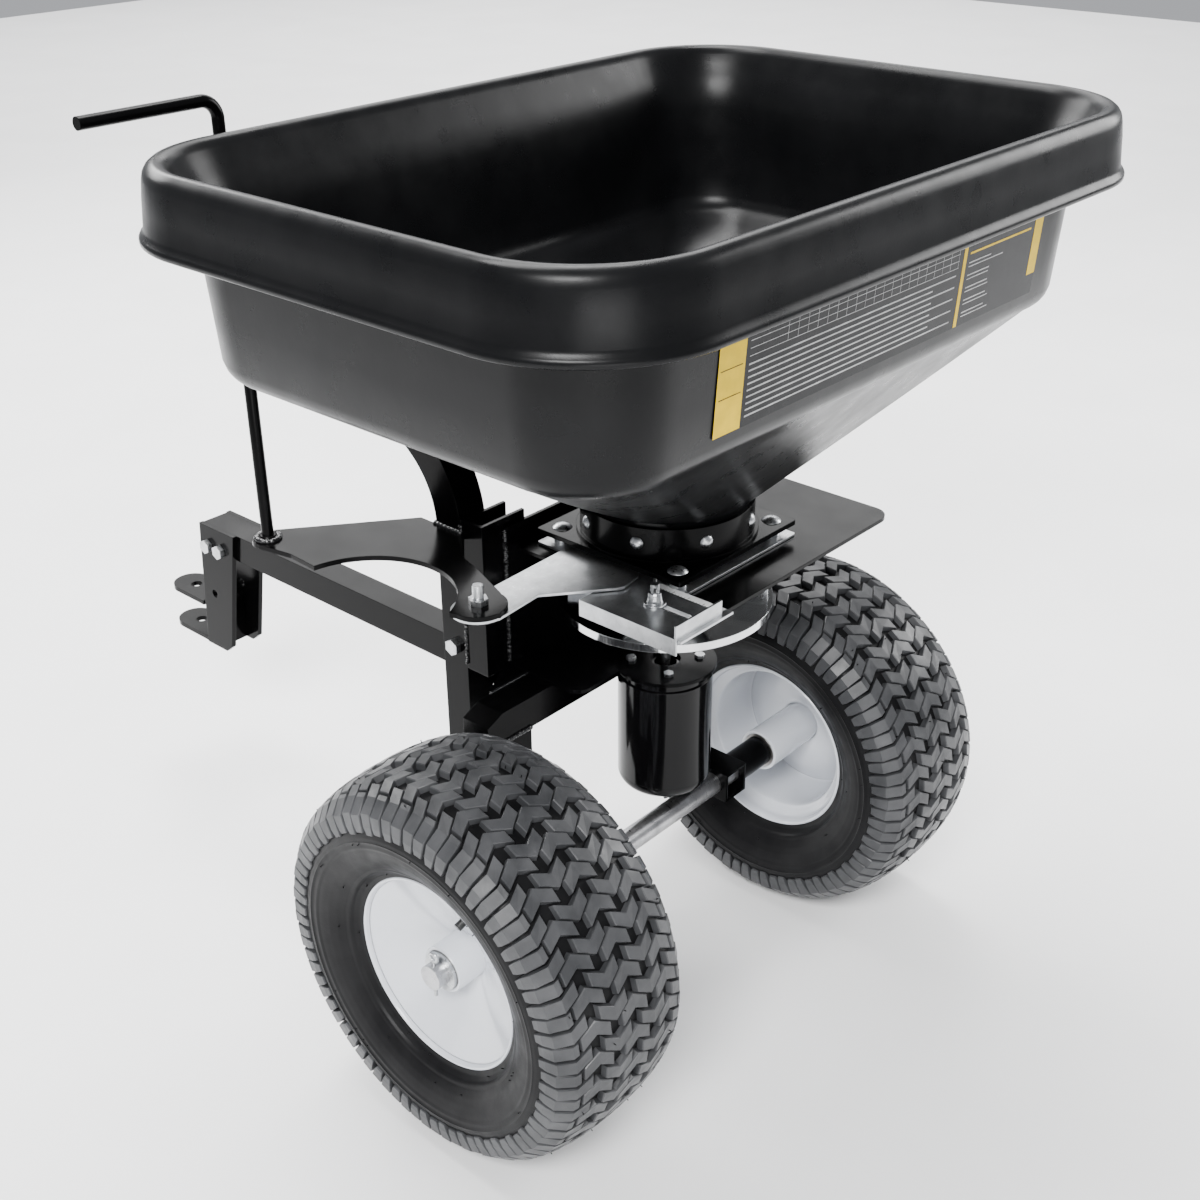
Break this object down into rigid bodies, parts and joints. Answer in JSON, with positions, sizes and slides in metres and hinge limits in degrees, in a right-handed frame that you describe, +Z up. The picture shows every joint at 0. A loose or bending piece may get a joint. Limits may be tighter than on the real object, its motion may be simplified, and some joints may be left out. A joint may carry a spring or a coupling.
{
  "type": "tow behind spreader",
  "caption": "Tow behind broadcast spreader with an open hopper, a motor driven spinner, a swinging gate with a flow stop, a pin hitch and turf tyres.",
  "frame": {"origin": "on the ground, under the middle of the bounding box", "axes": "+Z up, +Y forward from the hopper to the hitch, +X to the machine's right"},
  "size_m": [0.8244, 1.0357, 0.9466],
  "materials": {
    "powder_coat": "gloss black powder coat",
    "zinc": "bright zinc plate",
    "zinc_sheet": "stainless sheet with a fine grain",
    "polished_steel": "polished stainless sheet",
    "axle_steel": "plain drawn steel",
    "hopper_plastic": "satin charcoal rotationally moulded polyethylene",
    "printed_panel": "vinyl film, black with yellow bars and a blank grid",
    "tyre_rubber": "matt black rubber",
    "rim_paint": "gloss white enamel",
    "valve_rubber": "black rubber"
  },
  "bodies": {
    "frame": {"tongue": "powder_coat", "cross_tube": "powder_coat", "corner_gussets": "powder_coat", "axle_leg_left": "powder_coat", "axle_leg_right": "powder_coat", "axle_arm_left": "powder_coat", "axle_arm_right": "powder_coat", "axle": "axle_steel", "axle_sleeves": "powder_coat", "axle_washers": "zinc", "cotter_pins": "zinc", "hitch_plate_left": "powder_coat", "hitch_plate_right": "powder_coat", "hitch_tab_upper": "powder_coat", "hitch_tab_lower": "powder_coat", "hitch_web": "powder_coat", "hitch_bolts": "zinc", "mast": "powder_coat", "mast_bolt": "zinc", "hopper_saddle": "powder_coat", "saddle_bolts": "zinc", "support_plate": "powder_coat", "guide_rod": "powder_coat", "gate_stud": "zinc", "mount_channel": "powder_coat", "front_guard": "powder_coat", "deflector_plate": "powder_coat", "motor_plate": "powder_coat", "motor_flange": "powder_coat", "motor_can": "powder_coat", "motor_end_bell": "powder_coat", "motor_screws": "zinc", "base_plate": "powder_coat", "slide_plate": "zinc_sheet", "plate_spacers": "zinc", "plate_bolts": "zinc", "collar_ring": "powder_coat", "collar_screws": "zinc", "hopper": "hopper_plastic", "chart_panel": "printed_panel", "scale_plate": "zinc_sheet"},
    "wheel_left": {"tyre_left": "tyre_rubber", "rim_left": "rim_paint", "bearings_left": "zinc", "valve_left": "valve_rubber"},
    "wheel_right": {"tyre_right": "tyre_rubber", "rim_right": "rim_paint", "bearings_right": "zinc", "valve_right": "valve_rubber"},
    "spinner": {"spinner_disc": "polished_steel", "spinner_fins": "polished_steel", "spinner_hub": "zinc", "spinner_shaft": "zinc"},
    "gate": {"gate": "zinc_sheet"},
    "flow_stop": {"stop_bolt": "zinc", "stop_washers": "zinc"},
    "wing_nut": {"wing_nut": "zinc"}
  },
  "joints": [
    {"name": "wheel_left_turn", "type": "hinge", "parent": "frame", "child": "wheel_left", "pos_m": [-0.3, -0.256, 0.2], "axis": [1, 0, 0], "continuous": true},
    {"name": "wheel_right_turn", "type": "hinge", "parent": "frame", "child": "wheel_right", "pos_m": [0.218, -0.256, 0.2], "axis": [1, 0, 0], "continuous": true},
    {"name": "spinner_turn", "type": "hinge", "parent": "frame", "child": "spinner", "pos_m": [0.004, -0.232, 0.452], "axis": [0, 0, 1], "continuous": true},
    {"name": "gate_swing", "type": "hinge", "parent": "frame", "child": "gate", "pos_m": [-0.233, -0.205, 0.519], "axis": [0, 0, 1], "range_deg": [-12, 0]},
    {"name": "flow_stop_slide", "type": "slide", "parent": "frame", "child": "flow_stop", "axis": [0, 1, 0], "range_m": [-0.036, 0]},
    {"name": "wing_nut_turn", "type": "hinge", "parent": "flow_stop", "child": "wing_nut", "pos_m": [-0.115, -0.316, 0.525], "axis": [0, 0, 1], "continuous": true}
  ]
}
